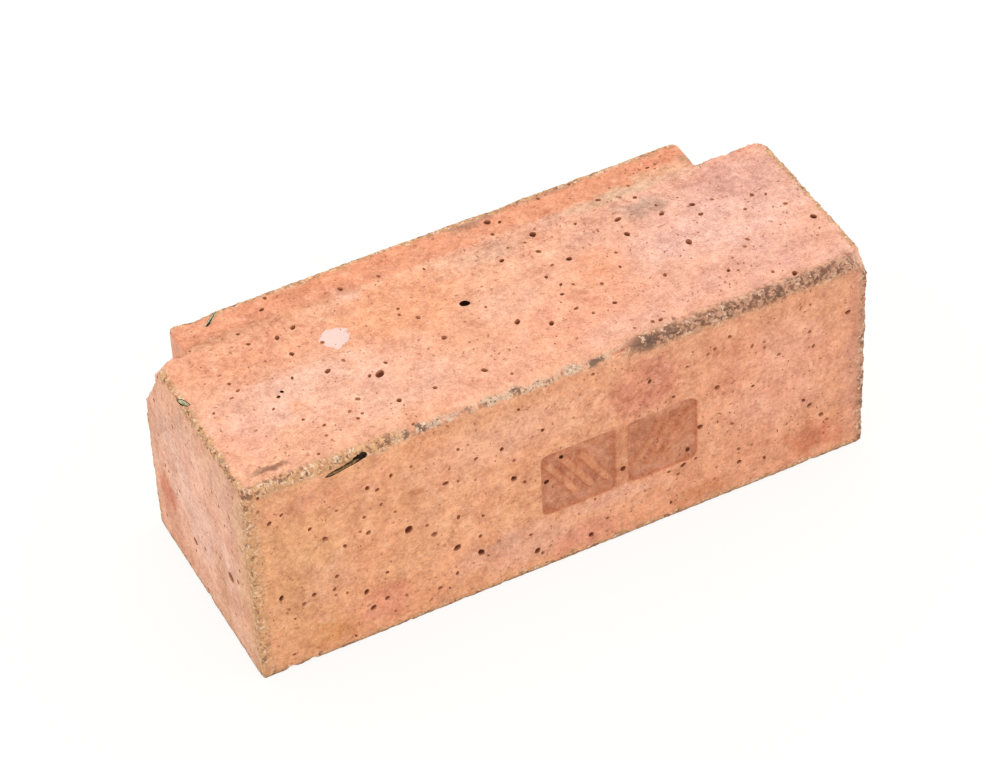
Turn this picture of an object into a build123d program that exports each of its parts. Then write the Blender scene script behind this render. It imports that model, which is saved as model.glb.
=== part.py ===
from build123d import *
import os

# A fired clay brick of nearly square section, as it lies on its bed face. Millimetres.
# The origin is the middle of the bed face. X runs along the brick, Y from the stamped
# front face to the back face, and Z up from the bed.

# The block
brick_length = 242.0
brick_width = 89.0
brick_height = 90.0

# The rebate along the back of the top. A lug stands up in it, flush with the top and
# back faces, so that the rebate shows as a notch at each end of the brick.
rebate_depth = 14.5
rebate_wall_height = 8.5
rebate_foot_drop = 30.0
rebate_crease_radius = 2.5
left_notch_length = 12.2
right_notch_length = 28.2
notch_corner_radius = 1.5
lug_left_corner_radius = 1.2
lug_right_corner_radius = 3.5

# The stamp's panel, sunk in the front face with sloping sides and crossed by a plain band
panel_length = 63.0
panel_height = 30.0
panel_from_left_end = 110.3
panel_above_bed = 24.5
panel_depth = 2.2
panel_draft_angle = 20.0
panel_corner_radius = 3.0
band_width = 4.2
band_from_panel_left = 30.4
band_below_face = 0.6

# The rounding of the arrises: the top front one is worn most
front_arris_radius = 4.5
end_arris_radius = 1.4
bed_arris_radius = 1.0
top_arris_radius = 1.0

# The knocks: a ball of this radius bites this deep into the sharp corner
notch_knock_radius = 9.0
notch_knock_bite = 4.6
front_knock_radius = 16.0
front_knock_bite = 6.4
splay_knock_radius = 6.0
splay_knock_bite = 1.6
splay_knock_above_bed = 58.0

# Where the faces lie
left_end = -brick_length / 2
right_end = brick_length / 2
front_face = -brick_width / 2
back_face = brick_width / 2
rebate_wall = back_face - rebate_depth
wall_foot = brick_height - rebate_wall_height
slope_foot = brick_height - rebate_foot_drop
lug_left = left_end + left_notch_length
lug_right = right_end - right_notch_length

# How far a cutting shape stands out of the clay, and how near two places are the same
clear = 5.0
near = 0.01


def full_block():
    """The pressed block, before anything is cut from it."""
    on_its_bed = (Align.CENTER, Align.CENTER, Align.MIN)
    return Box(brick_length, brick_width, brick_height, align=on_its_bed)


def rebate_space():
    """What the rebate takes away over the whole length: an upright wall, then a slope."""
    slope = (slope_foot - wall_foot) / rebate_depth
    outline = Polyline(
        (rebate_wall, brick_height + clear),
        (rebate_wall, wall_foot),
        (back_face + clear, slope_foot + slope * clear),
        (back_face + clear, brick_height + clear),
        close=True,
    )
    section = make_face(Plane.YZ * outline)
    prism = extrude(section, amount=brick_length / 2 + clear, both=True)
    along = prism.edges().filter_by(Axis.X)
    crease = along.sort_by_distance((0, rebate_wall, wall_foot))[0]
    return fillet(crease, rebate_crease_radius)


def lug(space):
    """The part of the rebate that stays full of clay, crisp at its left back corner."""
    plan = Rectangle(lug_right - lug_left, rebate_depth)
    plan = Pos((lug_left + lug_right) / 2, back_face - rebate_depth / 2) * plan
    for end, radius in ((0, lug_left_corner_radius), (-1, lug_right_corner_radius)):
        back_corners = plan.vertices().group_by(Axis.Y)[-1].sort_by(Axis.X)
        plan = fillet(back_corners[end], radius)
    return space & extrude(plan, amount=brick_height)


def notch_corners(clay):
    """The inner edges where the lug's ends rise from the rebate's wall and slope."""
    return [
        edge
        for edge in clay.edges()
        if min(abs(edge.center().X - lug_left), abs(edge.center().X - lug_right)) < near
        and edge.center().Y < back_face - max(lug_left_corner_radius, lug_right_corner_radius)
        and edge.center().Z < brick_height - near
    ]


def end_outlines(clay):
    """The edges round each end face."""
    ends = clay.faces().filter_by(Axis.X)
    return ends.sort_by(Axis.X)[0].edges() + ends.sort_by(Axis.X)[-1].edges()


def bed_arrises(clay):
    """The two long edges of the bed face."""
    return clay.edges().filter_by(Axis.X).group_by(Axis.Z)[0]


def back_outline(clay):
    """The top edges of the notches and of the lug, from one end to the other."""
    return [
        edge
        for edge in clay.edges()
        if edge.bounding_box().min.Z > brick_height - near
        and edge.center().Y > rebate_wall - near
    ]


def panel_space():
    """The stamp's sunk panel, less the band that stands across it."""
    across = left_end + panel_from_left_end + panel_length / 2
    up = panel_above_bed + panel_height / 2
    face = Plane(origin=(across, front_face, up), x_dir=(1, 0, 0), z_dir=(0, -1, 0))
    mouth = face * RectangleRounded(panel_length, panel_height, panel_corner_radius)
    sunk = extrude(mouth, amount=-panel_depth, taper=panel_draft_angle)
    band_middle = band_from_panel_left + band_width / 2 - panel_length / 2
    band = Pos(band_middle, 0, -band_below_face) * Rectangle(band_width, panel_height + clear)
    standing = extrude(face * band, amount=-panel_depth, taper=-panel_draft_angle)
    return sunk - standing


def knock(corner, inward, radius, bite):
    """A ball that bites this deep into the clay at a corner, from outside it."""
    back_off = Vector(*inward).normalized() * (radius - bite)
    centre = Vector(*corner) - back_off
    return Pos(*centre) * Sphere(radius)


space = rebate_space()
brick = full_block() - space + lug(space)
brick = fillet(notch_corners(brick), notch_corner_radius)
front_arris = brick.edges().filter_by(Axis.X).sort_by_distance((0, front_face, brick_height))[0]
brick = fillet(front_arris, front_arris_radius)
brick = fillet(end_outlines(brick), end_arris_radius)
brick = fillet(bed_arrises(brick), bed_arris_radius)
brick = fillet(back_outline(brick), top_arris_radius)
brick -= panel_space()
brick -= knock((left_end, rebate_wall, brick_height), (1, -1, -1), notch_knock_radius, notch_knock_bite)
brick -= knock((right_end, front_face, brick_height), (-1, 1, -1), front_knock_radius, front_knock_bite)
brick -= knock((left_end, back_face, splay_knock_above_bed), (1, -1, 0), splay_knock_radius, splay_knock_bite)

os.makedirs("parts", exist_ok=True)
export_step(brick, "parts/brick.step")
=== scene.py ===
import math
import random
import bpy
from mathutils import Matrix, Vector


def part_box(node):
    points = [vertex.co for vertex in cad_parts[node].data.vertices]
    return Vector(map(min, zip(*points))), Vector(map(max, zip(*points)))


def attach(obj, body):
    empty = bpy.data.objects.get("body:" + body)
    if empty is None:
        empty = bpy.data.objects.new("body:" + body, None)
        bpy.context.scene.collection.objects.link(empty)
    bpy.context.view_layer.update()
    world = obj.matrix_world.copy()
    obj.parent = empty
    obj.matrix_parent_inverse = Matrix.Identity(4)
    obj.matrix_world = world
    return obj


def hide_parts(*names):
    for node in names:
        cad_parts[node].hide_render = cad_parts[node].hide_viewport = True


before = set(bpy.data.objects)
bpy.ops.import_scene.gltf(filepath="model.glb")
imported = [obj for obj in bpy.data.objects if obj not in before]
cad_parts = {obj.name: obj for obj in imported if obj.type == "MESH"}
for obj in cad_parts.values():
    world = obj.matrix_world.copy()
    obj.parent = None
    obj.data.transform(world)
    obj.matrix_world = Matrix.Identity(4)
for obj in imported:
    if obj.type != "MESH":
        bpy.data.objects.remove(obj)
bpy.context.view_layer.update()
from types import SimpleNamespace

import bpy
import numpy as np
from mathutils import Matrix, Vector, noise

lowCorner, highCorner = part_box("brick")
mm = 0.001

# Places are in mm from the brick's front bottom left corner: x along it, y to the back, z up.
brickSize = [side / mm for side in highCorner - lowCorner]
length, width, height = brickSize


def place(x, y, z):
    return lowCorner + Vector((x, y, z)) * mm


# Working in the 3D view, by script

def selectOnly(piece):
    if bpy.context.object and bpy.context.object.mode != "OBJECT":
        bpy.ops.object.mode_set(mode="OBJECT")
    bpy.ops.object.select_all(action="DESELECT")
    piece.select_set(True)
    bpy.context.view_layer.objects.active = piece


def pickVerts(piece, wanted):
    # wanted gets a vertex's place in mm; the piece is left in edit mode
    selectOnly(piece)
    bpy.ops.object.mode_set(mode="EDIT")
    bpy.ops.mesh.select_mode(type="VERT")
    bpy.ops.mesh.select_all(action="DESELECT")
    bpy.ops.object.mode_set(mode="OBJECT")
    for vertex in piece.data.vertices:
        vertex.select = wanted(*((vertex.co - lowCorner) / mm))
    bpy.ops.object.mode_set(mode="EDIT")


def pickEdges(piece, wanted):
    # wanted gets the places of an edge's two ends in mm
    selectOnly(piece)
    bpy.ops.object.mode_set(mode="EDIT")
    bpy.ops.mesh.select_mode(type="EDGE")
    bpy.ops.mesh.select_all(action="DESELECT")
    bpy.ops.object.mode_set(mode="OBJECT")
    spots = [(vertex.co - lowCorner) / mm for vertex in piece.data.vertices]
    for edge in piece.data.edges:
        edge.select = wanted(*(spots[i] for i in edge.vertices))
    bpy.ops.object.mode_set(mode="EDIT")


def addBox(name, fromCorner, toCorner):
    a, b = place(*fromCorner), place(*toCorner)
    bpy.ops.object.select_all(action="DESELECT")
    bpy.ops.mesh.primitive_cube_add(size=1)
    box = bpy.context.active_object
    box.name = name
    bpy.ops.object.mode_set(mode="EDIT")
    bpy.ops.transform.resize(value=b - a)
    bpy.ops.transform.translate(value=(a + b) / 2)
    bpy.ops.object.mode_set(mode="OBJECT")
    return box


def cutAway(piece, cutter, solver="EXACT", way="DIFFERENCE"):
    selectOnly(piece)
    cut = piece.modifiers.new("cut", "BOOLEAN")
    cut.operation = way
    cut.solver = solver
    cut.material_mode = "TRANSFER" if cutter.data.materials else "INDEX"
    cut.object = cutter
    bpy.ops.object.modifier_apply(modifier=cut.name)
    bpy.data.objects.remove(cutter)


def joinInto(piece, others):
    selectOnly(piece)
    for other in others:
        other.select_set(True)
    bpy.ops.object.join()


def near(a, b):
    return abs(a - b) < 0.02


# Camera: the photograph's own view of the brick

camera = {
    "aim": (119.5, 48.4, 48.2),
    "azimuth": -25.32,
    "elevation": 43.33,
    "roll": -2.95,
    "distance": 1374.9,
    "lens": 138.9,
}


def addCamera():
    a, e = math.radians(camera["azimuth"]), math.radians(camera["elevation"])
    back = Vector((math.sin(a) * math.cos(e), -math.cos(a) * math.cos(e), math.sin(e)))
    right = Vector((math.cos(a), math.sin(a), 0))
    turn = Matrix((right, back.cross(right), back)).transposed().to_4x4()
    eye = place(*camera["aim"]) + back * camera["distance"] * mm
    bpy.ops.object.camera_add()
    view = bpy.context.active_object
    view.name = "photoView"
    view.data.lens = camera["lens"]
    view.data.clip_start, view.data.clip_end = 0.05, 50
    roll = Matrix.Rotation(math.radians(camera["roll"]), 4, "Z")
    view.matrix_world = Matrix.Translation(eye) @ turn @ roll
    bpy.context.scene.camera = view
    print("camera placed")


# The block: pressed square, with the rebate's two notches and the stamp's sunk panel

block = {
    "rebateWall": 74.5,
    "wallFoot": 81.5,
    "slopeFoot": 60.0,
    "lugFrom": 12.2,
    "lugTo": 213.8,
    "lugRounds": (1.0, 3.2),
    "frontRound": 2.8,
    "arrisRound": 0.6,
    "panelFrom": 110.3,
    "panelTo": 173.3,
    "panelLow": 24.5,
    "panelHigh": 54.5,
    "panelDeep": 2.2,
    "panelDraft": 0.9,
    "panelRound": 3.0,
    "bandFrom": 140.7,
    "bandTo": 144.9,
    "bandSunk": 0.6,
    "voxel": 0.6,
    "skin": 0.02,
    # knocked corners: the corner, the way into the clay, the ball's radius and its bite
    "knocks": (
        ((0, 74.5, 90), (1, -1, -1), 9.0, 4.2),
        ((242, 0, 90), (-1, 1, -1), 16.0, 5.6),
        ((0, 89, 58), (1, -1, 0), 6.0, 1.5),
        ((0, 0, 90), (1, 1, -1), 9.0, 2.2),
        ((242, 74.5, 90), (-1, -1, -1), 9.0, 1.8),
    ),
    "triangles": 190000,
}


def addNotchCutter(fromX, toX):
    wall, foot = block["rebateWall"], block["slopeFoot"]
    past = 5
    slope = (block["wallFoot"] - foot) / (width - wall)
    cutter = addBox("notchCutter", (fromX, wall, foot), (toX, width + past, height + past))
    pickVerts(cutter, lambda x, y, z: near(z, foot) and near(y, wall))
    bpy.ops.transform.translate(value=(0, 0, (block["wallFoot"] - foot) * mm))
    pickVerts(cutter, lambda x, y, z: near(z, foot) and near(y, width + past))
    bpy.ops.transform.translate(value=(0, 0, -slope * past * mm))
    bpy.ops.object.mode_set(mode="OBJECT")
    return cutter


def addPanelCutter(fromX, toX, deep):
    # a shallow box let into the front face, its corners round and its sides sloping
    out = 1.0
    low, high = block["panelLow"], block["panelHigh"]
    cutter = addBox("panelCutter", (fromX, -out, low), (toX, deep, high))
    pickEdges(cutter, lambda a, b: near(a.x, b.x) and near(a.z, b.z))
    bpy.ops.mesh.bevel(offset=block["panelRound"] * mm, segments=4, affect="EDGES")
    pickVerts(cutter, lambda x, y, z: near(y, deep))
    wide, tall = toX - fromX, high - low
    shrink = (1 - 2 * block["panelDraft"] / wide, 1, 1 - 2 * block["panelDraft"] / tall)
    middle = place((fromX + toX) / 2, deep, (low + high) / 2)
    bpy.ops.transform.resize(value=shrink, center_override=middle)
    bpy.ops.object.mode_set(mode="OBJECT")
    return cutter


def addBlock():
    piece = addBox("clayBrick", (0, 0, 0), brickSize)
    cutAway(piece, addNotchCutter(-5, block["lugFrom"]))
    cutAway(piece, addNotchCutter(block["lugTo"], length + 5))
    for lugEnd, corner in zip((block["lugFrom"], block["lugTo"]), block["lugRounds"]):
        pickEdges(piece, lambda a, b: near(a.x, b.x) and near(a.y, b.y) and near(a.y, width)
                  and near(a.x, lugEnd) and max(a.z, b.z) > height - 1)
        bpy.ops.mesh.bevel(offset=corner * mm, segments=4, affect="EDGES")
    pickEdges(piece, lambda a, b: near(a.y, 0) and near(b.y, 0) and near(a.z, height) and near(b.z, height))
    bpy.ops.mesh.bevel(offset=block["frontRound"] * mm, segments=4, affect="EDGES")
    bpy.ops.object.mode_set(mode="OBJECT")
    rounding = piece.modifiers.new("arrises", "BEVEL")
    rounding.width = block["arrisRound"] * mm
    rounding.segments = 2
    rounding.limit_method = "ANGLE"
    rounding.angle_limit = math.radians(50)
    selectOnly(piece)
    bpy.ops.object.modifier_apply(modifier=rounding.name)
    for corner, inward, radius, bite in block["knocks"]:
        bpy.ops.object.select_all(action="DESELECT")
        ballAt = place(*(Vector(corner) - Vector(inward).normalized() * (radius - bite)))
        bpy.ops.mesh.primitive_ico_sphere_add(subdivisions=4, radius=radius * mm, location=ballAt)
        cutAway(piece, bpy.context.active_object)
    cutAway(piece, addPanelCutter(block["panelFrom"], block["bandFrom"], block["panelDeep"]))
    cutAway(piece, addPanelCutter(block["bandTo"], block["panelTo"], block["panelDeep"]))
    cutAway(piece, addPanelCutter(block["panelFrom"], block["panelTo"], block["bandSunk"]))
    print("block modelled")
    return piece


# The relief in the panel: plain slanting ribs, worn soft

ribs = {
    "count": 3,
    "wide": 3.4,
    "high": 1.5,
    "lean": 32,
    "inset": 5.5,
    "short": 4,
    "root": 1,
    "edge": 0.7,
    "smoothing": 4,
}


def addRibs():
    made = []
    low, high = block["panelLow"] + ribs["short"], block["panelHigh"] - ribs["short"]
    floor = block["panelDeep"]
    leftHalf = (block["panelFrom"], block["bandFrom"], 1)
    rightHalf = (block["bandTo"], block["panelTo"], -1)
    for fromX, toX, side in (leftHalf, rightHalf):
        for i in range(ribs["count"]):
            part = (i + 0.5) / ribs["count"]
            middle = fromX + ribs["inset"] + part * (toX - fromX - 2 * ribs["inset"])
            rib = addBox("rib", (middle - ribs["wide"] / 2, floor - ribs["high"], low),
                         (middle + ribs["wide"] / 2, floor + ribs["root"], high))
            bpy.ops.object.mode_set(mode="EDIT")
            bpy.ops.mesh.select_all(action="SELECT")
            pivot = place(middle, floor, (low + high) / 2)
            lean = math.radians(side * ribs["lean"])
            bpy.ops.transform.rotate(value=lean, orient_axis="Y", center_override=pivot)
            bpy.ops.mesh.bevel(offset=ribs["edge"] * mm, segments=2, affect="EDGES")
            bpy.ops.object.mode_set(mode="OBJECT")
            made.append(rib)
    print("ribs modelled")
    return made


def softenPanel(piece):
    rim, behind = 2, 3.2
    low, high = block["panelLow"] - rim, block["panelHigh"] + rim
    left, right = block["panelFrom"] - rim, block["panelTo"] + rim
    pickVerts(piece, lambda x, y, z: y < behind and low < z < high and left < x < right)
    bpy.ops.mesh.vertices_smooth(factor=0.5, repeat=ribs["smoothing"])
    bpy.ops.object.mode_set(mode="OBJECT")
    print("panel worn soft")


# Wear: what firing and handling did to the arrises and faces

# from, to, how wide the worn band is, how deep it goes, how rough it is
arrises = [
    ((0, 0, 90), (148, 0, 90), 3.8, 0.2, 0.75),
    ((144, 0, 90), (242, 0, 90), 5.5, 0.45, 0.85),
    ((0, 0, 90), (0, 74.5, 90), 3.6, 0.2, 0.75),
    ((242, 0, 90), (242, 74.5, 90), 3.6, 0.25, 0.45),
    ((0, 0, 0), (0, 0, 90), 3.0, 0.1, 0.6),
    ((242, 0, 0), (242, 0, 90), 3.6, 0.35, 0.3),
    ((0, 0, 0), (242, 0, 0), 2.0, 0.0, 0.3),
    ((0, 0, 0), (0, 89, 0), 2.0, 0.0, 0.25),
    ((242, 0, 0), (242, 89, 0), 2.4, 0.1, 0.4),
    ((0, 89, 0), (242, 89, 0), 2.2, 0.1, 0.4),
    ((0, 89, 0), (0, 89, 60), 2.4, 0.15, 0.2),
    ((242, 89, 0), (242, 89, 60), 2.4, 0.15, 0.4),
    ((12, 89, 90), (213, 89, 90), 2.6, 0.1, 0.22),
    ((0, 74.5, 90), (12, 74.5, 90), 3.0, 0.3, 0.8),
    ((213, 74.5, 90), (242, 72.5, 90), 3.0, 0.3, 0.5),
    ((0, 74.5, 81.5), (0, 89, 60), 2.4, 0.15, 0.35),
    ((242, 74.5, 81.5), (242, 89, 60), 2.4, 0.15, 0.4),
    ((0, 89, 60), (12, 89, 60), 2.2, 0.15, 0.3),
    ((213, 89, 60), (242, 89, 60), 2.2, 0.15, 0.3),
]

surface = {
    "swell": (55.0, 0.14),
    "ripple": (9.0, 0.06),
    "grit": (1.6, 0.022),
    "crumb": 1.7,
    "pebble": 2.3,
    "crack": 0.75,
    "lugBelowTop": 0.25,
    "chips": 110,
}

# Shallow dents. Where, which way each runs on its face (degrees), long, wide and deep
dentsOnTop = [
    ((14.0, 8.0), -6, 14, 2.6, 0.55),
    ((22.5, 89.0), 10, 16, 4.5, 0.9),
    ((140.0, 89.0), 0, 22, 3.0, 0.5),
    ((93.4, 36.3), 35, 5.0, 2.0, 0.7),
    ((188.0, 1.5), 5, 9, 5.0, 0.8),
    ((76.0, 71.0), 12, 8, 5.0, 0.2),
    ((45.0, 11.0), 14, 26, 1.6, 0.14),
    ((58.0, 8.5), 10, 22, 1.4, 0.12),
    ((103.0, 10.0), 8, 30, 2.0, 0.12),
    ((212.0, 8.0), 12, 8, 4.0, 0.35),
    ((30.0, 62.0), 38, 16, 2.2, 0.25),
    ((46.0, 72.0), 20, 14, 2.0, 0.25),
    ((24.0, 70.0), 62, 9, 2.0, 0.2),
]
dentsInFront = [
    ((62.5, 61.4), 10, 5.5, 4.2, 0.4),
    ((83.0, 86.0), 0, 8, 4.0, 0.5),
    ((108.3, 10.1), 30, 4.4, 3.0, 0.35),
    ((99.6, 51.2), 10, 4.2, 3.4, 0.25),
    ((190.2, 28.7), 40, 4.0, 3.0, 0.25),
    ((152.0, 66.0), 20, 13, 9.0, 0.3),
    ((96.0, 19.0), 20, 17, 4.0, 0.2),
    ((62.0, 60.0), 30, 9, 3.0, 0.3),
    ((118.0, 52.0), 12, 14, 3.0, 0.35),
    ((164.0, 54.0), 5, 18, 4.0, 0.45),
    ((168.0, 29.0), 50, 10, 4.0, 0.4),
]


def grainAt(points, size, seed, octaves=2):
    shift = Vector((seed * 7.3, seed * 3.1, seed * 5.7))
    return np.array([noise.fractal(Vector(p) / size + shift, 1.0, 2.0, octaves) for p in points])


def cracksAt(points, size):
    # 1 in the cracks between broken grains of this size, 0 on the grains
    crackWidth = 0.35
    gaps = (noise.voronoi(Vector(p) / size)[0] for p in points)
    return np.clip(1 - np.array([gap[1] - gap[0] for gap in gaps]) / crackWidth, 0, 1)


def readMesh(mesh):
    spots = np.empty(len(mesh.vertices) * 3, np.float32)
    normals = np.empty(len(mesh.vertices) * 3, np.float32)
    mesh.vertices.foreach_get("co", spots)
    mesh.vertices.foreach_get("normal", normals)
    spots = (spots.reshape(-1, 3) - np.array(lowCorner)) / mm
    return spots, normals.reshape(-1, 3)


def writeMesh(mesh, spots):
    mesh.vertices.foreach_set("co", (spots * mm + np.array(lowCorner)).astype(np.float32).ravel())
    mesh.update()


def nearLine(spots, a, b):
    a, b = np.array(a, float), np.array(b, float)
    along = b - a
    share = np.clip((spots - a) @ along / (along @ along), 0, 1)
    return np.linalg.norm(spots - a - share[:, None] * along, axis=1)


def dentAt(across, up, patch, where, turn, long, wide, deep):
    a = math.radians(turn)
    u = (across - where[0]) * math.cos(a) + (up - where[1]) * math.sin(a)
    v = (up - where[1]) * math.cos(a) - (across - where[0]) * math.sin(a)
    away = np.hypot(2 * u / long, 2 * v / wide) + 0.25 * patch
    return deep * np.clip(1.25 * (1 - away), 0, 1)


def wearSurface(piece):
    selectOnly(piece)
    spots, normals = readMesh(piece.data)
    depth = np.zeros(len(spots))
    for i, (size, deep) in enumerate((surface["swell"], surface["ripple"], surface["grit"])):
        depth += deep * (0.35 + grainAt(spots, size, i + 1))
    patch = grainAt(spots, 7.0, 12)
    uneven = 1 + 0.5 * patch
    bands = [np.clip(1 - nearLine(spots, a, b) / (wide * uneven), 0, 1) for a, b, wide, _, _ in arrises]
    atEdge = np.max(bands, axis=0) > 0
    crumb, crack = np.zeros(len(spots)), np.zeros(len(spots))
    crumb[atEdge] = grainAt(spots[atEdge], surface["crumb"], 9, 3)
    crack[atEdge] = cracksAt(spots[atEdge], surface["pebble"])
    for worn, (_, _, _, deep, rough) in zip(bands, arrises):
        broken = rough * (0.1 + 1.2 * crumb + surface["crack"] * crack)
        depth += worn ** 1.2 * (deep * (0.8 + 1.2 * patch) + broken)
    x, y, z = spots.T
    onTop, inFront = (z > height - 2.5), (y < 3)
    for dent in dentsOnTop:
        depth += onTop * dentAt(x, y, patch, *dent)
    for dent in dentsInFront:
        depth += inFront * dentAt(x, z, patch, *dent)
    lugStep = np.clip((y - block["rebateWall"] - 0.8 * patch) / 1.2, 0, 1)
    depth += onTop * lugStep * surface["lugBelowTop"]
    crease = np.clip(1 - np.abs(y - block["rebateWall"] - 1.2 * patch) / 1.2, 0, 1)
    depth += onTop * crease * (0.1 + 0.25 * crumb)
    depth[z < 1.5] *= 0.5
    spots = chipArrises(spots - normals * depth[:, None])
    writeMesh(piece.data, np.clip(spots, block["skin"], np.array(brickSize) - block["skin"]))
    print("surface worn", len(spots))


def chipArrises(spots):
    # a ball at the arris pushes what is inside it back to its skin
    chance = random.Random(21)
    middle = np.array(brickSize) / 2
    odds = [math.dist(arris[0], arris[1]) * arris[4] for arris in arrises]
    across = 20  # an arris runs less than this far in the ways that it faces
    for i in range(surface["chips"]):
        a, b = chance.choices(arrises, odds)[0][:2]
        share = chance.random()
        spot = np.array(a) * (1 - share) + np.array(b) * share
        radius = chance.uniform(1.4, 3.6)
        outward = np.sign(spot - middle) * (np.abs(np.array(b) - np.array(a)) < across)
        outward = outward / np.linalg.norm(outward)
        centre = spot + outward * (radius - chance.uniform(0.5, 1.3))
        gap = spots - centre
        away = np.linalg.norm(gap, axis=1)
        inside = away < radius
        spots[inside] += gap[inside] * ((radius / away[inside] - 1) * 0.85)[:, None]
    return spots


# Pores: gas and burnt-out grit, each a small pit. Two places on the face, and how wide

poresOnTop = [
    (107.5, 48.5, 3.4), (66, 31, 3.4), (73, 77, 2.6), (48, 86, 1.8), (44.5, 81, 2), (50, 67, 2.2),
    (43, 65, 2.2), (33, 67, 1.8), (44, 55, 2.1), (19, 52, 1.6), (39, 44, 1.4), (51, 41, 2.2),
    (33, 39.5, 1.6), (86, 57.5, 1.6), (85, 54.5, 1.4), (119, 31, 2.6), (100, 30, 1.3), (98, 15, 2.3),
    (66, 16, 2), (54, 23.5, 1.9), (49, 19.5, 1.6), (50, 15, 1.6), (31, 6, 1.4), (134, 83, 2.8),
    (138, 81, 1.8), (159, 86, 1.4), (169, 87, 1.8), (198, 81, 1.6), (145, 69, 2.8), (134, 67, 1.4),
    (140.5, 66.5, 1.4), (129, 62, 2), (142.5, 60, 1.9), (150, 51, 2.6), (175, 61, 2.6), (174, 52.5, 2.3),
    (174, 74, 2), (186, 68.5, 1.9), (190, 56, 2.6), (202, 55, 2), (202, 49, 2), (191, 38, 2.8),
    (223, 49, 1.8), (217, 43.5, 1.6), (236, 28, 2.7), (231, 39, 1.8), (129, 24.5, 2.4), (140, 27, 1.9),
    (153, 23, 2), (144, 22, 1.4), (145, 38.5, 1.4), (215, 5.5, 2.4), (93.5, 36.5, 2.4),
]
poresInFront = [
    (8.5, 73, 2.4), (28, 56, 2.4), (59, 45, 3.6), (54, 73.5, 1.8), (74, 60, 2.2), (86, 66, 1.6),
    (41, 53, 1.4), (35, 49, 1.8), (78, 41.5, 2), (68.5, 38, 2.2), (10, 36, 2.2), (31, 36, 2),
    (22, 31.5, 2.2), (18, 29, 2), (41.5, 23, 2.3), (49, 16, 2), (77, 27, 3), (86, 20, 3), (36, 3.5, 1.4),
    (162, 7, 1.6), (165, 20, 1.8), (174, 39, 2.4), (181, 55, 2.6), (187, 34.5, 1.8), (190, 14, 2.4),
    (195, 68.5, 1.8), (200, 65.5, 1.6), (206, 59.5, 1.8), (234, 67, 2.2), (216.5, 32, 1.8), (219, 28.5, 2),
    (226.5, 18, 1.6), (200.5, 11, 1.8), (45, 72, 2.2), (48.5, 69.5, 1.8), (44, 51, 2), (43.5, 14, 2.2),
    (129.5, 7, 2.4), (143, 33, 2.8), (154, 70.5, 2.2), (167, 23.5, 2.2), (180, 74, 2), (220, 57, 1.8),
    (224, 21.5, 2.2), (100, 49.5, 2.6), (108, 9.5, 2.4), (79.5, 73.5, 1.6), (66, 43.5, 1.6),
    (54.5, 56, 1.4),
]
poresInPanel = [(113.5, 39.5, 2.2), (119.5, 49, 1.8), (170, 28, 2)]
poresInLeft = [
    (53, 21.5, 3.2), (20.5, 33, 4.2), (14, 36.5, 2.2), (72.5, 39.5, 1.6), (36, 60, 1.2), (62, 70, 1.4),
]

pores = {
    "deep": (0.75, 1.5),
    "ragged": 0.32,
    "hiddenWidth": (1.2, 3.2),
    "hiddenCount": 34,
    "smallWidth": (1.3, 1.8),
    "smallCount": 52,
    "pinWidth": (0.5, 1.2),
    "pinCount": 170,
    "gap": 0.6,
}

# each face's name, its corner, the two ways along it and its outward side
faces = {
    "top": ((0, 0, 90), (1, 0, 0), (0, 1, 0), (0, 0, 1)),
    "front": ((0, 0, 0), (1, 0, 0), (0, 0, 1), (0, -1, 0)),
    "left": ((0, 0, 0), (0, 1, 0), (0, 0, 1), (-1, 0, 0)),
    "panel": ((0, 2.1, 0), (1, 0, 0), (0, 0, 1), (0, -1, 0)),
    "right": ((242, 0, 0), (0, 1, 0), (0, 0, 1), (1, 0, 0)),
    "back": ((0, 89, 0), (1, 0, 0), (0, 0, 1), (0, 1, 0)),
    "bed": ((0, 0, 0), (1, 0, 0), (0, 1, 0), (0, 0, -1)),
}


def choosePores():
    # every pore as its place, its outward side and its width, none of them touching
    chance = random.Random(7)
    chosen = []

    def tryPore(face, u, v, wide):
        corner, alongU, alongV, outward = (Vector(part) for part in faces[face])
        spot = corner + alongU * u + alongV * v
        clear = all((spot - other).length > (wide + otherWide) / 2 + pores["gap"]
                    for other, _, otherWide in chosen)
        if clear:
            chosen.append((spot, outward, wide))

    def scatter(face, sides, count, margin, widths):
        for i in range(count):
            u, v = (chance.uniform(margin, side - margin) for side in sides)
            tryPore(face, u, v, chance.uniform(*widths))

    known = {"top": poresOnTop, "front": poresInFront, "panel": poresInPanel, "left": poresInLeft}
    for face, places in known.items():
        for u, v, wide in places:
            tryPore(face, u, v, wide)
    for face, (_, alongU, alongV, _) in faces.items():
        if face == "panel":
            continue
        sides = [Vector(way).dot(Vector(brickSize)) for way in (alongU, alongV)]
        share = sides[0] / length
        if face in ("right", "back", "bed"):
            scatter(face, sides, int(pores["hiddenCount"] * share), 5, pores["hiddenWidth"])
        scatter(face, sides, int(pores["smallCount"] * share), 3, pores["smallWidth"])
        pins = 0
        while pins < pores["pinCount"] * share:
            u, v = (chance.uniform(2, side - 2) for side in sides)
            crowd = noise.noise(Vector((u, v, len(face) * 9)) / 14)
            if chance.random() < 0.25 + 0.9 * crowd:
                tryPore(face, u, v, chance.uniform(*pores["pinWidth"]) * chance.uniform(0.8, 1))
                pins += 1
    return chosen


def addPoreShapes(fine):
    shapes = []
    for seed in range(5):
        bpy.ops.object.select_all(action="DESELECT")
        bpy.ops.mesh.primitive_ico_sphere_add(subdivisions=fine, radius=1)
        shape = bpy.context.active_object
        shape.name = "poreShape"
        bpy.ops.object.mode_set(mode="EDIT")
        bpy.ops.transform.vertex_random(offset=pores["ragged"], seed=seed + 1)
        bpy.ops.mesh.vertices_smooth(factor=0.4, repeat=1)
        bpy.ops.object.mode_set(mode="OBJECT")
        shapes.append(shape)
    return shapes


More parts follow.
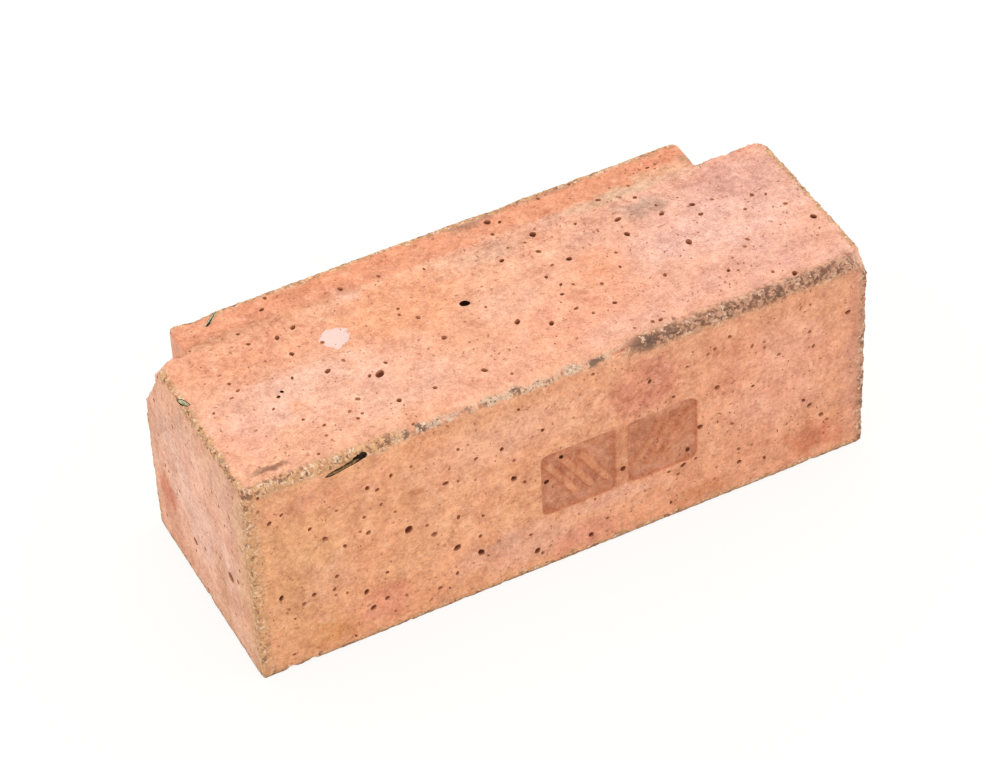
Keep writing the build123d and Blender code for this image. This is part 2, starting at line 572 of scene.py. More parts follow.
def addPores(piece):
    wideShapes, pinShapes = addPoreShapes(2), addPoreShapes(1)
    pinBelow = 1.3
    chance = random.Random(11)
    pits = []
    chosen = choosePores()
    for spot, outward, wide in chosen:
        pit = chance.choice(wideShapes if wide > pinBelow else pinShapes).copy()
        pit.data = pit.data.copy()
        bpy.context.collection.objects.link(pit)
        reach = wide / 2 * mm
        deep = reach * chance.uniform(*pores["deep"])
        size = Matrix.Diagonal((reach * chance.uniform(1.0, 1.35), reach * chance.uniform(0.8, 1), deep, 1))
        spin = Matrix.Rotation(chance.uniform(0, math.tau), 4, "Z")
        upright = outward.to_track_quat("Z", "Y").to_matrix().to_4x4()
        pit.data.transform(Matrix.Translation(place(*spot)) @ upright @ spin @ size)
        pits.append(pit)
    for shape in wideShapes + pinShapes:
        bpy.data.objects.remove(shape)
    joinInto(pits[0], pits[1:])
    # the pore walls take the material of painted shade
    pits[0].data.materials.append(bpy.data.materials["poreClay"])
    cutAway(piece, pits[0], "MANIFOLD")
    print("pores cut", len(chosen))


# Straw: the burnt-out slot in the front arris with its husk, and the two stalks pressed into the edges

straws = [
    # cut away or laid in, middle, half sizes, turn about x, y and z in degrees, its material
    ("cut", (37.6, 0.2, 85.7), (7.9, 1.6, 1.45), (0, -11, -2), "charredClay"),
    ("cut", (43.2, 0.1, 87.2), (3.0, 1.8, 1.8), (0, -14, 0), "charredClay"),
    ("laid", (36.6, 0.9, 84.9), (6.8, 0.85, 0.9), (0, -11, -1), "brownHusk"),
    ("cut", (27.2, 85.5, 89.9), (5.0, 1.05, 0.8), (0, 0, 42), "charredClay"),
    ("laid", (27.0, 85.75, 89.5), (4.6, 0.3, 0.46), (0, 0, 40), "huskStraw"),
    ("laid", (27.9, 85.4, 89.45), (3.8, 0.26, 0.46), (0, 0, 46), "huskStraw"),
    ("cut", (1.4, 51.5, 89.7), (1.2, 3.9, 0.9), (0, 0, 26), "charredClay"),
    ("laid", (1.7, 51.6, 89.4), (0.75, 3.3, 0.55), (0, 0, 26), "huskStraw"),
]


def addStraw(piece):
    for way, middle, halves, turns, materialName in straws:
        bpy.ops.object.select_all(action="DESELECT")
        bpy.ops.mesh.primitive_ico_sphere_add(subdivisions=4, radius=1)
        shape = bpy.context.active_object
        for vertex in shape.data.vertices:
            x, y, z = vertex.co
            point = 1 - 0.35 * max(abs(part) for part in (x, y, z)) ** 4
            vertex.co = (x, y * point, z * point)
        turn = Matrix.Identity(4)
        for angle, axis in zip(turns, "XYZ"):
            turn = Matrix.Rotation(math.radians(angle), 4, axis) @ turn
        size = Matrix.Diagonal((*(side * mm for side in halves), 1))
        shape.data.transform(Matrix.Translation(place(*middle)) @ turn @ size)
        shape.data.materials.append(bpy.data.materials[materialName])
        cutAway(piece, shape, "MANIFOLD", "DIFFERENCE" if way == "cut" else "UNION")
    print("straw pressed in")


# Materials. Colours are as seen, 0 to 255

def seen(red, green, blue):
    shares = [c / 255 for c in (red, green, blue)]
    return [s / 12.92 if s < 0.0404 else ((s + 0.055) / 1.055) ** 2.4 for s in shares] + [1.0]


def addNode(tree, kind, sockets, output=0, **settings):
    # sockets gives each input a number, a colour or another node's output
    node = tree.nodes.new("ShaderNode" + kind)
    for name, value in settings.items():
        setattr(node, name, value)
    for name, value in sockets.items():
        if isinstance(value, bpy.types.NodeSocket):
            tree.links.new(value, node.inputs[name])
        else:
            node.inputs[name].default_value = value
    return node.outputs[output]


def sums(tree, operation, a, b=0.0, clamp=False):
    return addNode(tree, "Math", {0: a, 1: b}, operation=operation, use_clamp=clamp)


def fade(tree, value, off, on):
    # 0 at off, 1 at on, smooth between
    return addNode(tree, "MapRange", {"Value": value, "From Min": off, "From Max": on},
                   interpolation_type="SMOOTHSTEP")


def grain(tree, spots, size, seed=0, detail=2.0, rough=0.5):
    # 0 to 1, about 0.5 on average; size is one number, or one for each way
    sizes = size if isinstance(size, tuple) else (size,) * 3
    shift = addNode(tree, "Mapping", {"Vector": spots, "Location": (seed * 13.7, seed * 5.1, seed * 9.3),
                                      "Scale": [1 / s for s in sizes]})
    sockets = {"Vector": shift, "Scale": 1.0, "Detail": detail, "Roughness": rough}
    return addNode(tree, "TexNoise", sockets, "Fac")


def coat(tree, under, over, mask, way="MIX"):
    # over laid on under, as far as the mask says
    sockets = {"Factor": mask, "A": under, "B": over}
    return addNode(tree, "Mix", sockets, "Result", data_type="RGBA", blend_type=way)


def both(tree, a, b):
    return sums(tree, "MULTIPLY", a, b)


def swing(tree, value, low, high, atLow, atHigh):
    # straight from one value to the other, and level past both
    sockets = {"Value": value, "From Min": low, "From Max": high, "To Min": atLow, "To Max": atHigh}
    return addNode(tree, "MapRange", sockets)


def scaled(tree, vector, factor):
    return addNode(tree, "VectorMath", {0: vector, "Scale": factor}, operation="SCALE")


def stray(tree, spots, size, reach, detail=3.0):
    # the same places pushed aside by up to about this reach, so that what is drawn there has a ragged rim
    sockets = {"Vector": spots, "Scale": 1 / size, "Detail": detail, "Roughness": 0.6}
    push = addNode(tree, "TexNoise", sockets, "Color")
    push = addNode(tree, "VectorMath", {0: push, 1: (0.5, 0.5, 0.5)}, operation="SUBTRACT")
    return addNode(tree, "VectorMath", {0: spots, 1: scaled(tree, push, reach * 4)}, operation="ADD")


def brokenGrains(tree, spots, size):
    # for each grain of this size three chance shares, and how far each place is from its middle
    cells = addNode(tree, "TexVoronoi", {"Vector": spots, "Scale": 1 / size}, "Color")
    shares = addNode(tree, "SeparateColor", {"Color": cells}, 0).node.outputs
    return shares[0], shares[1], shares[2], cells.node.outputs["Distance"]


def specks(tree, spots, cell, radius, share):
    # round specks of this radius in mm, in this share of the cells
    kind, wide, _, away = brokenGrains(tree, spots, cell)
    gap = sums(tree, "SUBTRACT", away, both(tree, wide, radius / cell * 0.9))
    return both(tree, swing(tree, gap, 0.1 + radius / cell * 0.3, radius / cell * 0.3 - 0.05, 0, 1),
                sums(tree, "LESS_THAN", kind, share))


def spotAt(tree, spots, middle, reach, soft=0.35, strength=1.0):
    # full inside an oval and soft at its rim
    scale = tuple(1 / r for r in reach)
    shift = tuple(-m * s for m, s in zip(middle, scale))
    moved = addNode(tree, "VectorMath", {0: spots, 1: scale, 2: shift}, operation="MULTIPLY_ADD")
    away = addNode(tree, "VectorMath", {0: moved}, "Value", operation="LENGTH")
    sockets = {"Value": away, "From Min": 1 + soft, "From Max": 1 - soft, "To Max": strength}
    return addNode(tree, "MapRange", sockets, interpolation_type="SMOOTHSTEP")


# Stains and patches on the clay, and darker ovals in three dents: middle, reach each way, colour, strength
stainsAndDentDarkening = [
    # top: pale in front and at the right, orange behind, greyed along the crease
    ((38, 36, 90), (38, 13, 3), (251, 202, 180), 0.7),
    ((66, 22, 90), (30, 12, 3), (250, 196, 172), 0.5),
    ((12, 26, 90), (9, 14, 3), (250, 182, 156), 0.6),
    ((28, 63, 90), (32, 12, 3), (240, 166, 130), 0.75),
    ((86, 58, 90), (26, 15, 3), (246, 170, 126), 0.75),
    ((120, 42, 90), (12, 9, 3), (251, 194, 164), 0.6),
    ((160, 42, 90), (11, 8, 3), (248, 168, 128), 0.7),
    ((140, 24, 90), (30, 12, 3), (246, 172, 140), 0.6),
    ((152, 10, 90), (26, 6, 3), (246, 184, 162), 0.5),
    ((205, 43, 90), (34, 16, 3), (247, 196, 178), 0.85),
    ((222, 62, 90), (22, 12, 3), (226, 166, 148), 0.75),
    ((204, 14, 90), (38, 9, 3), (234, 176, 158), 0.6),
    ((178, 60, 90), (26, 9, 3), (234, 174, 150), 0.6),
    ((100, 12, 90), (26, 8, 3), (248, 178, 148), 0.5),
    ((75, 72, 90), (6, 3.6, 3), (253, 198, 176), 0.7),
    ((128, 68, 90), (14, 5, 3), (212, 166, 140), 0.6),
    ((184, 64, 90), (12, 4.5, 3), (196, 158, 138), 0.7),
    ((150, 73, 90), (34, 3.6, 3), (226, 172, 146), 0.6),
    ((187, 74, 90), (27, 3.2, 3), (222, 186, 152), 0.6),
    ((216, 78, 90), (6, 4, 3), (164, 138, 108), 0.75),
    ((40, 75, 90), (40, 2.4, 3), (206, 142, 106), 0.55),
    ((127, 87, 89), (12, 4, 4), (172, 132, 108), 0.75),
    ((160, 88, 89), (22, 2.4, 4), (186, 138, 112), 0.7),
    ((202, 83, 90), (10, 4, 3), (234, 146, 116), 0.6),
    ((80, 84, 90), (34, 4, 3), (240, 158, 116), 0.6),
    # darker in the long dent at the front of the top
    ((13.5, 8, 90), (6.2, 1.3, 3), (140, 98, 78), 0.8),
    # front: ochre at the left, pale streaks, red zones
    ((14, 0, 44), (20, 4, 34), (234, 172, 122), 0.6),
    ((28, 0, 10), (9, 4, 7), (222, 152, 96), 0.75),
    ((30, 0, 76), (22, 4, 6), (240, 166, 130), 0.6),
    ((28, 0, 36), (11, 4, 10), (244, 178, 146), 0.5),
    ((78, 0, 44), (14, 4, 30), (248, 182, 142), 0.6),
    ((98, 0, 70), (34, 4, 11), (250, 186, 154), 0.7),
    ((49, 0, 14), (9, 4, 8), (224, 140, 114), 0.75),
    ((100, 0, 15), (22, 4, 9), (246, 186, 158), 0.7),
    ((88, 0, 20), (12, 4, 4), (222, 168, 142), 0.6),
    ((152, 0, 68), (15, 4, 12), (222, 142, 116), 0.85),
    ((128, 0, 9), (13, 4, 6), (228, 150, 128), 0.65),
    ((140, 0, 21), (20, 4, 3.6), (246, 184, 158), 0.6),
    ((205, 0, 50), (24, 4, 22), (246, 178, 150), 0.7),
    ((186, 0, 66), (12, 4, 18), (236, 160, 126), 0.6),
    ((221, 0, 11), (13, 4, 7), (214, 126, 92), 0.85),
    ((174, 0, 7), (12, 4, 5), (208, 136, 90), 0.8),
    ((238, 0, 45), (5, 4, 44), (214, 150, 128), 0.7),
    # darker in two dents in the front
    ((62.5, 0, 61.4), (3.2, 4, 1.9), (190, 122, 82), 0.7),
    ((99.6, 0, 51.2), (2.4, 4, 1.7), (196, 130, 90), 0.6),
    # left end: lilac grey, a brown run, a tan side and a red burn
    ((0, 46, 46), (4, 26, 30), (250, 201, 182), 0.7),
    ((0, 30, 18), (4, 6, 26), (230, 174, 140), 0.7),
    ((0, 6, 44), (4, 6, 44), (232, 180, 140), 0.7),
    ((0, 76, 60), (4, 10, 18), (238, 192, 172), 0.7),
    ((0, 76, 27), (4, 7, 9), (210, 124, 100), 0.85),
    ((0, 66, 8), (4, 20, 7), (236, 180, 156), 0.6),
]

# sooty crumbs on the front top arris: place along it, reach and strength
sootyAt = [(54, 1.6, 0.4), (64, 3.6, 0.6), (74, 1.2, 0.4), (83, 2.0, 0.5), (90, 1.4, 0.4), (104, 3.0, 0.5),
           (116, 1.4, 0.4), (133, 4.0, 0.55), (152, 6, 0.5), (163, 3, 0.2), (186, 3, 0.15), (204, 4, 0.2),
           (222, 5, 0.2)]
sootyCorners = [((2, 2, 89), (4, 3, 2)), ((0, 12, 90), (2, 5, 2)), ((237, 74, 90), (6, 2, 2))]


def brickSpace(tree):
    # places in mm from the front bottom left corner, as a vector and as x, y and z
    where = addNode(tree, "TexCoord", {}, "Object")
    spots = addNode(tree, "Mapping", {"Vector": where, "Location": tuple(-c / mm for c in lowCorner),
                                      "Scale": (1 / mm,) * 3})
    parts = addNode(tree, "SeparateXYZ", {0: spots}, 0).node.outputs
    return spots, parts[0], parts[1], parts[2]


def edgeAway(tree, a, b):
    flat = addNode(tree, "CombineXYZ", {0: a, 1: b, 2: 0.0})
    return addNode(tree, "VectorMath", {0: flat}, "Value", operation="LENGTH")


def between(tree, value, low, high, soft):
    return both(tree, fade(tree, value, low - soft, low + soft), fade(tree, value, high + soft, high - soft))


# the clay's colours, some with painted shade in them (the sunk panel, the grain rims, the bed edge and the
# pinholes), and how far light and dark go as factors of red, green and blue; on the crumbs this is painted
# light and shade
claySeen = {
    "topLeft": (247, 181, 146),
    "topRight": (244, 183, 159),
    "lug": (238, 160, 124),
    "frontLeft": (242, 174, 131),
    "frontRight": (238, 168, 132),
    "ends": (240, 187, 160),
    "cloud": (247, 168, 128),
    "fleck": (254, 204, 174),
    # the sunk panel: partly its own colour, partly painted shade in the recess
    "sunkPanelToneAndShade": (195, 118, 80),
    "sandGrain": (238, 192, 142),
    "tanGrain": (208, 150, 108),
    "paleArris": (230, 200, 172),
    "smokedArris": (204, 156, 130),
    "creamGrain": (250, 222, 194),
    "lightSoot": (122, 80, 60),
    "darkSoot": (74, 50, 42),
    "blackSoot": (70, 62, 58),
    # painted shade in the cracks between broken grains
    "grainRimShade": (140, 96, 68),
    # painted shade along the foot, where the brick meets the floor
    "bedEdgeShade": (150, 112, 90),
    "lime": (252, 220, 210),
    # painted shade of tiny holes, and the colour of dark grains
    "pinholeShadeAndGrain": (150, 86, 58),
}
shadeRange = ((0.72, 0.62, 0.6, 1), (1.28, 1.38, 1.4, 1))
# painted light and shade on the crumbs of the arrises
crumbLightAndShade = ((1.3, 1.3, 1.3, 1), (0.74, 0.74, 0.74, 1))


def fired(name):
    return seen(*claySeen[name])


def clayPlaces(tree):
    # places on the brick as they are, and pushed aside so that what is drawn there has a ragged rim
    spots, x, y, z = brickSpace(tree)
    patchSpots = stray(tree, spots, 9.0, 4.0, 4)
    crumbSpots = stray(tree, spots, 2.4, 1.1, 3)
    _, raggedY, raggedZ = addNode(tree, "SeparateXYZ", {0: crumbSpots}, 0).node.outputs
    return SimpleNamespace(spots=spots, x=x, y=y, z=z, patchSpots=patchSpots, crumbSpots=crumbSpots,
                           raggedY=raggedY, raggedZ=raggedZ)


def faceColours(tree, at):
    # the three kinds of face, the struck top, the pressed front and the cut ends, with their stains and the
    # darker dents
    top = coat(tree, fired("topLeft"), fired("topRight"), fade(tree, at.x, 120, 215))
    top = coat(tree, top, fired("lug"), fade(tree, at.raggedY, 73.5, 76))
    front = coat(tree, fired("frontLeft"), fired("frontRight"), fade(tree, at.x, 60, 200))
    colour = coat(tree, fired("ends"), front, fade(tree, at.raggedY, 2.4, 0.8))
    colour = coat(tree, colour, top, fade(tree, at.raggedZ, height - 2.8, height - 1.2))
    for middle, reach, tint, strength in stainsAndDentDarkening:
        where = at.crumbSpots if min(reach) < 3 else at.patchSpots
        colour = coat(tree, colour, seen(*tint), spotAt(tree, where, middle, reach, 0.45, strength))
    return colour


def cloudsAndPanel(tree, at, colour):
    clouds = fade(tree, grain(tree, at.spots, 24.0, 1), 0.38, 0.66)
    colour = coat(tree, colour, fired("cloud"), both(tree, clouds, 0.3))
    flecks = grain(tree, at.spots, 4.4, 5, 4, 0.65)
    colour = coat(tree, colour, fired("fleck"), swing(tree, flecks, 0.52, 0.7, 0, 0.3))
    # the sunk panel is painted darker: partly its own deeper firing colour, partly painted shade in the
    # recess
    inPanel = both(tree, between(tree, at.x, block["panelFrom"] - 0.3, block["panelTo"] + 0.2, 0.8),
                   between(tree, at.z, block["panelLow"] - 0.2, block["panelHigh"] + 0.2, 0.8))
    sunk = both(tree, inPanel, both(tree, fade(tree, at.y, 0.1, 0.95), fade(tree, at.y, 8, 6)))
    sunk = both(tree, sunk, swing(tree, flecks, 0.3, 0.65, 1.0, 0.55))
    return coat(tree, colour, fired("sunkPanelToneAndShade"), both(tree, sunk, 0.92))


def lightAndDark(tree, at, colour):
    # blotches, crinkles and fine grain, with streaks wiped along the top and drawn down the front; the
    # crinkles are painted light and shade of the crinkled relief over the clay's own tone, strongest in the
    # rough zones
    crinkle = grain(tree, at.spots, 2.3, 17, 4, 0.72)
    roughZone = sums(tree, "MAXIMUM", spotAt(tree, at.patchSpots, (24, 66, 90), (36, 14, 5)),
                     spotAt(tree, at.patchSpots, (160, 68, 90), (80, 11, 5)))
    roughZone = sums(tree, "MAXIMUM", roughZone, spotAt(tree, at.patchSpots, (152, 0, 66), (24, 5, 14)))
    onTop = fade(tree, at.z, height - 3, height - 1)
    wiped = swing(tree, grain(tree, at.patchSpots, (20.0, 1.8, 8.0), 6), 0.2, 0.8, -0.12, 0.12)
    drawn = swing(tree, grain(tree, at.patchSpots, (3.2, 24.0, 18.0), 8), 0.2, 0.8, -0.14, 0.14)
    fine = grain(tree, at.spots, 0.8, 15, 1)
    light = addNode(tree, "Mix", {0: onTop, 2: drawn, 3: wiped})
    blotches = grain(tree, at.spots, 8.0, 2, 2)
    crinkled = swing(tree, roughZone, 0, 1, 1.45, 2.1)
    # the crinkle adds painted light and shade of the crinkled relief
    for wave, strength in ((blotches, 0.95), (crinkle, crinkled), (fine, 0.95)):
        light = sums(tree, "ADD", light, both(tree, sums(tree, "SUBTRACT", wave, 0.5), strength))
    light = sums(tree, "ADD", light, 0.5)
    tint = coat(tree, *shadeRange, light)
    return coat(tree, colour, tint, 1.0, "MULTIPLY"), crinkle, fine


def sootShare(tree, at, smoked, rightSide):
    # what share of the broken grains is burnt dark
    soot = sums(tree, "ADD", 0.1, both(tree, smoked, 0.3))
    soot = sums(tree, "ADD", soot, both(tree, rightSide, 0.25))
    for along, reach, strength in sootyAt:
        spot = spotAt(tree, at.crumbSpots, (along, 1.2, height - 1.6), (reach, 3.6, 2.6), 0.4, strength)
        soot = sums(tree, "ADD", soot, spot)
    for middle, reach in sootyCorners:
        soot = sums(tree, "ADD", soot, spotAt(tree, at.crumbSpots, middle, reach, 0.3, 0.4))
    return soot


def crustOnArrises(tree, at, colour, crinkle):
    # broken grains, tan, brown and cream, with a smoked stretch at the front right
    nearX = sums(tree, "MINIMUM", at.x, sums(tree, "SUBTRACT", length, at.x))
    nearY = sums(tree, "MINIMUM", at.y, sums(tree, "SUBTRACT", width, at.y))
    toTop = sums(tree, "SUBTRACT", height, at.z)
    nearZ = sums(tree, "MINIMUM", at.z, toTop)
    away = sums(tree, "MINIMUM", edgeAway(tree, nearX, nearY), edgeAway(tree, nearX, nearZ))
    away = sums(tree, "MINIMUM", away, edgeAway(tree, nearY, nearZ))
    toRight = sums(tree, "SUBTRACT", length, at.x)
    frontArris = edgeAway(tree, at.y, toTop)
    patches = grain(tree, at.spots, 5.0, 9, 3, 0.65)
    ragged = sums(tree, "MULTIPLY", sums(tree, "SUBTRACT", patches, 0.5), 7.0)
    frayed = sums(tree, "ADD", away, ragged)
    smokeEdge = sums(tree, "ADD", frontArris, both(tree, ragged, 0.45))
    smoked = both(tree, fade(tree, at.x, 140, 154), fade(tree, smokeEdge, 7.0, 2.6))
    tanned = both(tree, fade(tree, at.x, 66, 52), fade(tree, smokeEdge, 5.2, 2.2))
    rightEdge = sums(tree, "ADD", edgeAway(tree, toRight, at.y), both(tree, ragged, 0.3))
    rightSide = fade(tree, rightEdge, 5.0, 1.6)
    leftSide = fade(tree, sums(tree, "ADD", edgeAway(tree, at.x, at.y), ragged), 6.5, 2.5)

    dark, cream, tone, rim = brokenGrains(tree, at.crumbSpots, 1.1)
    crust = coat(tree, fired("sandGrain"), fired("tanGrain"), tone)
    pale = both(tree, between(tree, at.x, 60, 146, 6), fade(tree, frontArris, 6, 4))
    crust = coat(tree, crust, fired("paleArris"), pale)
    browned = both(tree, sums(tree, "MAXIMUM", smoked, rightSide), 0.85)
    crust = coat(tree, crust, fired("smokedArris"), browned)
    creamShare = both(tree, fade(tree, cream, 0.22, 0.16), swing(tree, smoked, 0, 1, 0.8, 0.45))
    crust = coat(tree, crust, fired("creamGrain"), creamShare)
    soot = sootShare(tree, at, smoked, rightSide)
    burnt = fade(tree, sums(tree, "SUBTRACT", soot, dark), -0.08, 0.06)
    sootColour = coat(tree, fired("lightSoot"), fired("darkSoot"), tone)
    sootColour = coat(tree, sootColour, fired("blackSoot"), fade(tree, soot, 0.45, 0.85))
    crust = coat(tree, crust, sootColour, both(tree, burnt, 0.85))
    # dark rims between the broken grains: painted shade in the cracks
    crust = coat(tree, crust, fired("grainRimShade"), both(tree, fade(tree, rim, 0.52, 0.72), 0.5))
    # painted light and shade of the crumbled relief, following the crinkle that also raises the bump
    crumbLitAndShaded = coat(tree, *crumbLightAndShade, swing(tree, crinkle, 0.25, 0.75, 0, 1))
    crust = coat(tree, crust, crumbLitAndShaded, 1.0, "MULTIPLY")

    band = both(tree, fade(tree, frayed, 3.2, 1.2), 0.9)
    for side, strength in ((smoked, 0.9), (tanned, 0.85), (rightSide, 0.75), (leftSide, 0.6)):
        band = sums(tree, "MAXIMUM", band, both(tree, side, strength))
    colour = coat(tree, colour, crust, band)
    # darker along the foot: painted shade under the bottom arris
    overFloor = sums(tree, "ADD", at.z, both(tree, ragged, 0.2))
    return coat(tree, colour, fired("bedEdgeShade"), both(tree, fade(tree, overFloor, 1.6, 0.6), 0.6))


def pinholes(tree, at, colour):
    # small holes and dark grains, crowded in places: the holes' dark is painted shade, the grains' is their
    # own colour
    patches = fade(tree, grain(tree, at.spots, 12.0, 14, 1), 0.36, 0.56)
    crowd = sums(tree, "ADD", patches, both(tree, fade(tree, at.x, 110, 170), 0.4))
    dots = both(tree, specks(tree, at.crumbSpots, 1.8, 0.3, 0.55), crowd)
    more = specks(tree, scaled(tree, at.crumbSpots, 0.97), 3.3, 0.45, 0.4)
    dots = sums(tree, "MAXIMUM", dots, more)
    return coat(tree, colour, fired("pinholeShadeAndGrain"), sums(tree, "MULTIPLY", dots, 0.75, True))


def makeFiredClay():
    clay = bpy.data.materials.new("firedClay")
    clay.use_nodes = True
    tree = clay.node_tree
    shader = tree.nodes["Principled BSDF"]
    at = clayPlaces(tree)
    colour = cloudsAndPanel(tree, at, faceColours(tree, at))
    colour, crinkle, fine = lightAndDark(tree, at, colour)
    colour = crustOnArrises(tree, at, colour, crinkle)
    limePatch = spotAt(tree, at.crumbSpots, (60.5, 54.8, 90), (5.4, 5.0, 3), 0.07, 0.9)
    colour = coat(tree, colour, fired("lime"), limePatch)
    colour = pinholes(tree, at, colour)
    tree.links.new(colour, shader.inputs["Base Color"])

    # matt, and never quite even
    tree.links.new(swing(tree, fine, 0.3, 0.7, 0.82, 0.97), shader.inputs["Roughness"])
    shader.inputs["Specular IOR Level"].default_value = 0.25
    rise = sums(tree, "ADD", both(tree, fine, 0.8), crinkle)
    bump = addNode(tree, "Bump", {"Height": rise, "Strength": 0.7, "Distance": 0.14 * mm})
    tree.links.new(bump, shader.inputs["Normal"])
    return clay


def makeCrust(name, deep, rim, size, rough=0.95):
    # one of the small dark or straw-coloured materials: two colours in a coarse grain, or for the pores
    # painted shade that darkens with depth
    crust = bpy.data.materials.new(name)
    crust.use_nodes = True
    tree = crust.node_tree
    shader = tree.nodes["Principled BSDF"]
    spots, x, y, z = brickSpace(tree)
    mask = fade(tree, grain(tree, spots, size, 3, 3, 0.6), 0.35, 0.65)
    if name == "poreClay":
        # painted shade in the pits: darker the deeper the wall lies below the brick's faces
        insideX = sums(tree, "MINIMUM", x, sums(tree, "SUBTRACT", length, x))
        insideY = sums(tree, "MINIMUM", y, sums(tree, "SUBTRACT", width, y))
        insideZ = sums(tree, "MINIMUM", z, sums(tree, "SUBTRACT", height, z))
        inside = sums(tree, "MINIMUM", insideX, sums(tree, "MINIMUM", insideY, insideZ))
        mask = fade(tree, inside, 1.1, 0.25)
    colour = coat(tree, seen(*deep), seen(*rim), mask)
    if name == "poreClay":
        # two pores on the top are nearly black inside
        for middle in ((107.5, 48.5, 89), (33, 39.5, 89)):
            colour = coat(tree, colour, seen(44, 18, 10), spotAt(tree, spots, middle, (3, 3, 4)))
    tree.links.new(colour, shader.inputs["Base Color"])
    shader.inputs["Roughness"].default_value = rough
    shader.inputs["Specular IOR Level"].default_value = 0.2
    return crust


# Studio: a lit room, one soft lamp above and a floor that stays white to the eye

studio = {
    "world": 0.93,
    "lamp": 3.6,
    "lampSize": 1.4,
    "lampAt": (0.25, 0.15, 1.7),
    "floorShows": 0.22,
    "floorGlow": 1.08,
    "floorSize": 8,
}


def eyeRay(tree):
    # 1 for what the camera, a reflection or a clear thing sees
    path = addNode(tree, "LightPath", {}, 0).node.outputs
    seenBy = sums(tree, "MAXIMUM", path["Is Camera Ray"], path["Is Glossy Ray"])
    return sums(tree, "MAXIMUM", seenBy, path["Is Transmission Ray"])


def addStudio():
    bpy.ops.object.select_all(action="DESELECT")
    bpy.ops.mesh.primitive_plane_add(size=studio["floorSize"])
    floor = bpy.context.active_object
    floor.name = "studioFloor"
    paint = bpy.data.materials.new("paleFloor")
    paint.use_nodes = True
    tree = paint.node_tree
    matt = tree.nodes["Principled BSDF"]
    matt.inputs["Base Color"].default_value = seen(236, 235, 228)
    matt.inputs["Roughness"].default_value = 0.95
    glow = addNode(tree, "Emission", {"Color": (1, 1, 0.99, 1), "Strength": studio["floorGlow"]})
    share = sums(tree, "MULTIPLY", eyeRay(tree), 1 - studio["floorShows"])
    surfaceOut = addNode(tree, "MixShader", {0: share, 1: matt.outputs[0], 2: glow})
    tree.links.new(surfaceOut, tree.nodes["Material Output"].inputs["Surface"])
    floor.data.materials.append(paint)
    world = bpy.data.worlds.new("studio")
    bpy.context.scene.world = world
    world.use_nodes = True
    tree = world.node_tree
    ambient = tree.nodes["Background"]
    ambient.inputs["Strength"].default_value = studio["world"]
    ambient.inputs["Color"].default_value = (1, 1, 1, 1)
    backdrop = addNode(tree, "Background", {"Color": (1, 1, 1, 1), "Strength": 1.0})
    sky = addNode(tree, "MixShader", {0: eyeRay(tree), 1: ambient.outputs[0], 2: backdrop})
    tree.links.new(sky, tree.nodes["World Output"].inputs["Surface"])
    bpy.ops.object.light_add(type="AREA", location=studio["lampAt"])
    lamp = bpy.context.active_object
    lamp.rotation_euler = (Vector((0, 0, 0)) - lamp.location).to_track_quat("-Z", "Y").to_euler()
    lamp.data.size = studio["lampSize"]
    lamp.data.energy = studio["lamp"]
    print("studio lit")


# The bake's own map: each face of the brick is one chart, laid side by side

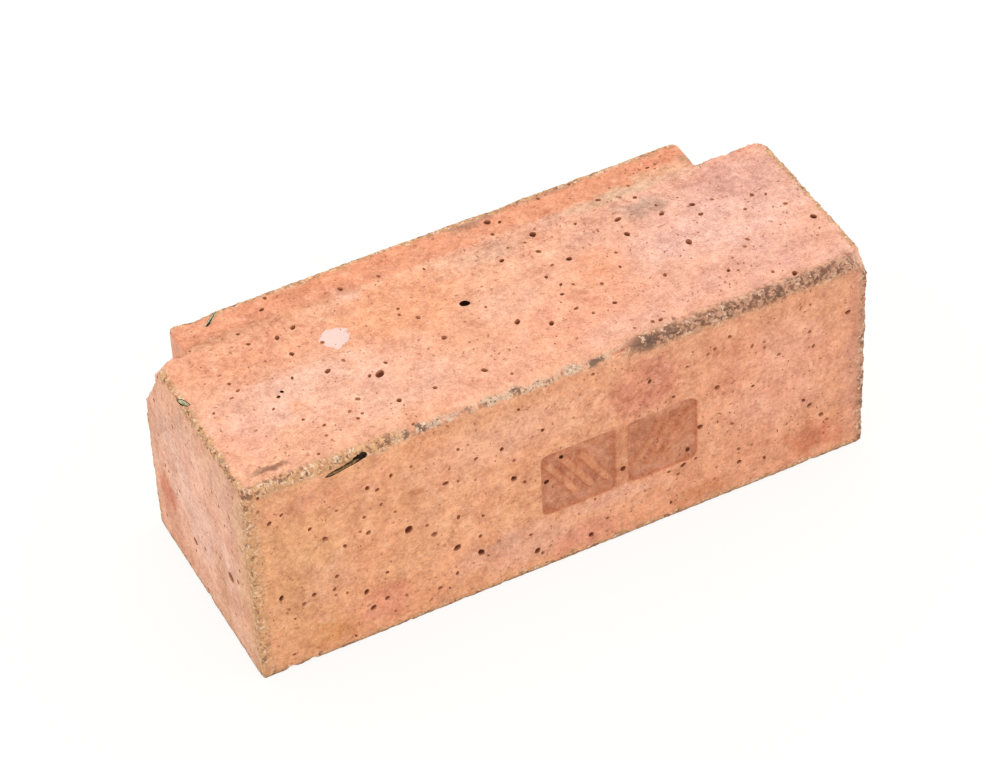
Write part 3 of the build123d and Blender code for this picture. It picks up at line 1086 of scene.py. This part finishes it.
def addBakeMap(piece):
    mesh = piece.data
    spots, _ = readMesh(mesh)
    x, y, z = spots.T
    border, gap = 4, 5
    row = height + gap
    beside = length + border + 6
    sheet = 4 * row + gap
    # how far from the face, the map's two ways across it, and the chart's corner on the sheet
    charts = [
        (z, (x, y), (border, border)),
        (height - z, (x, y), (border, border + row)),
        (y, (x, z), (border, border + 2 * row)),
        (width - y, (x, z), (border, border + 3 * row)),
        (x, (y, z), (beside, border)),
        (length - x, (y, z), (beside, border + row)),
    ]
    loopVerts = np.empty(len(mesh.loops), np.int32)
    mesh.loops.foreach_get("vertex_index", loopVerts)
    starts = np.empty(len(mesh.polygons), np.int32)
    mesh.polygons.foreach_get("loop_start", starts)
    counts = np.empty(len(mesh.polygons), np.int32)
    mesh.polygons.foreach_get("loop_total", counts)
    outward = np.empty(len(mesh.polygons) * 3, np.float32)
    mesh.polygons.foreach_get("normal", outward)
    outward = np.abs(outward.reshape(-1, 3))
    owner = np.repeat(np.arange(len(starts)), counts)
    middles = np.stack([np.bincount(owner, part[loopVerts]) for part in (x, y, z)], 1) / counts[:, None]
    gaps = np.stack([np.bincount(owner, away[loopVerts]) / counts for away, _, _ in charts], 1)
    nearest = gaps.argmin(axis=1)
    # in the notches the wall and slope go with the back, and the lug's ends with the brick's own
    along, over, up = middles.T
    slack = 0.6
    fall = (block["wallFoot"] - block["slopeFoot"]) / (width - block["rebateWall"])
    slopeAt = block["slopeFoot"] + fall * (width - over)
    beyondLug = (along < block["lugFrom"] + slack) | (along > block["lugTo"] - slack)
    inNotch = (over > block["rebateWall"] - slack) & (up > slopeAt - 2 * slack) & beyondLug
    endward = outward[:, 0] > 0.75
    nearest[inNotch & ~endward] = 3
    nearest[inNotch & endward & (along < length / 2)] = 4
    nearest[inNotch & endward & (along > length / 2)] = 5
    chart = nearest[owner]
    across = np.empty((len(loopVerts), 2))
    for i, (_, ways, corner) in enumerate(charts):
        mine = chart == i
        for axis in (0, 1):
            across[mine, axis] = (ways[axis][loopVerts[mine]] + corner[axis]) / sheet
    layer = mesh.uv_layers.new(name="OFBake")
    layer.data.foreach_set("uv", across.astype(np.float32).ravel())
    print("bake map laid out")


def countTriangles(mesh):
    mesh.calc_loop_triangles()
    return len(mesh.loop_triangles)


addCamera()
bpy.context.scene.view_settings.view_transform = "Standard"
brick = addBlock()
joinInto(brick, addRibs())
brick.data.remesh_voxel_size = block["voxel"] * mm
bpy.ops.object.voxel_remesh()
softenPanel(brick)
wearSurface(brick)
brick.data.materials.append(makeFiredClay())
# pore walls: painted shade, dark deep in the pit and paler at its rim
makeCrust("poreClay", (122, 64, 42), (202, 136, 100), 6.0)
makeCrust("charredClay", (26, 20, 16), (72, 50, 36), 1.2)
makeCrust("brownHusk", (92, 66, 42), (164, 128, 84), 0.9, 0.7)
makeCrust("huskStraw", (150, 146, 112), (222, 212, 172), 0.9, 0.7)
addPores(brick)
addStraw(brick)
selectOnly(brick)
thin = brick.modifiers.new("thin", "DECIMATE")
thin.ratio = block["triangles"] / countTriangles(brick.data)
bpy.ops.object.modifier_apply(modifier=thin.name)
bpy.ops.object.shade_smooth_by_angle(angle=math.radians(40))
print("thinned to", len(brick.data.polygons))
addBakeMap(brick)
addStudio()

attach(brick, "root")
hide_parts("brick")
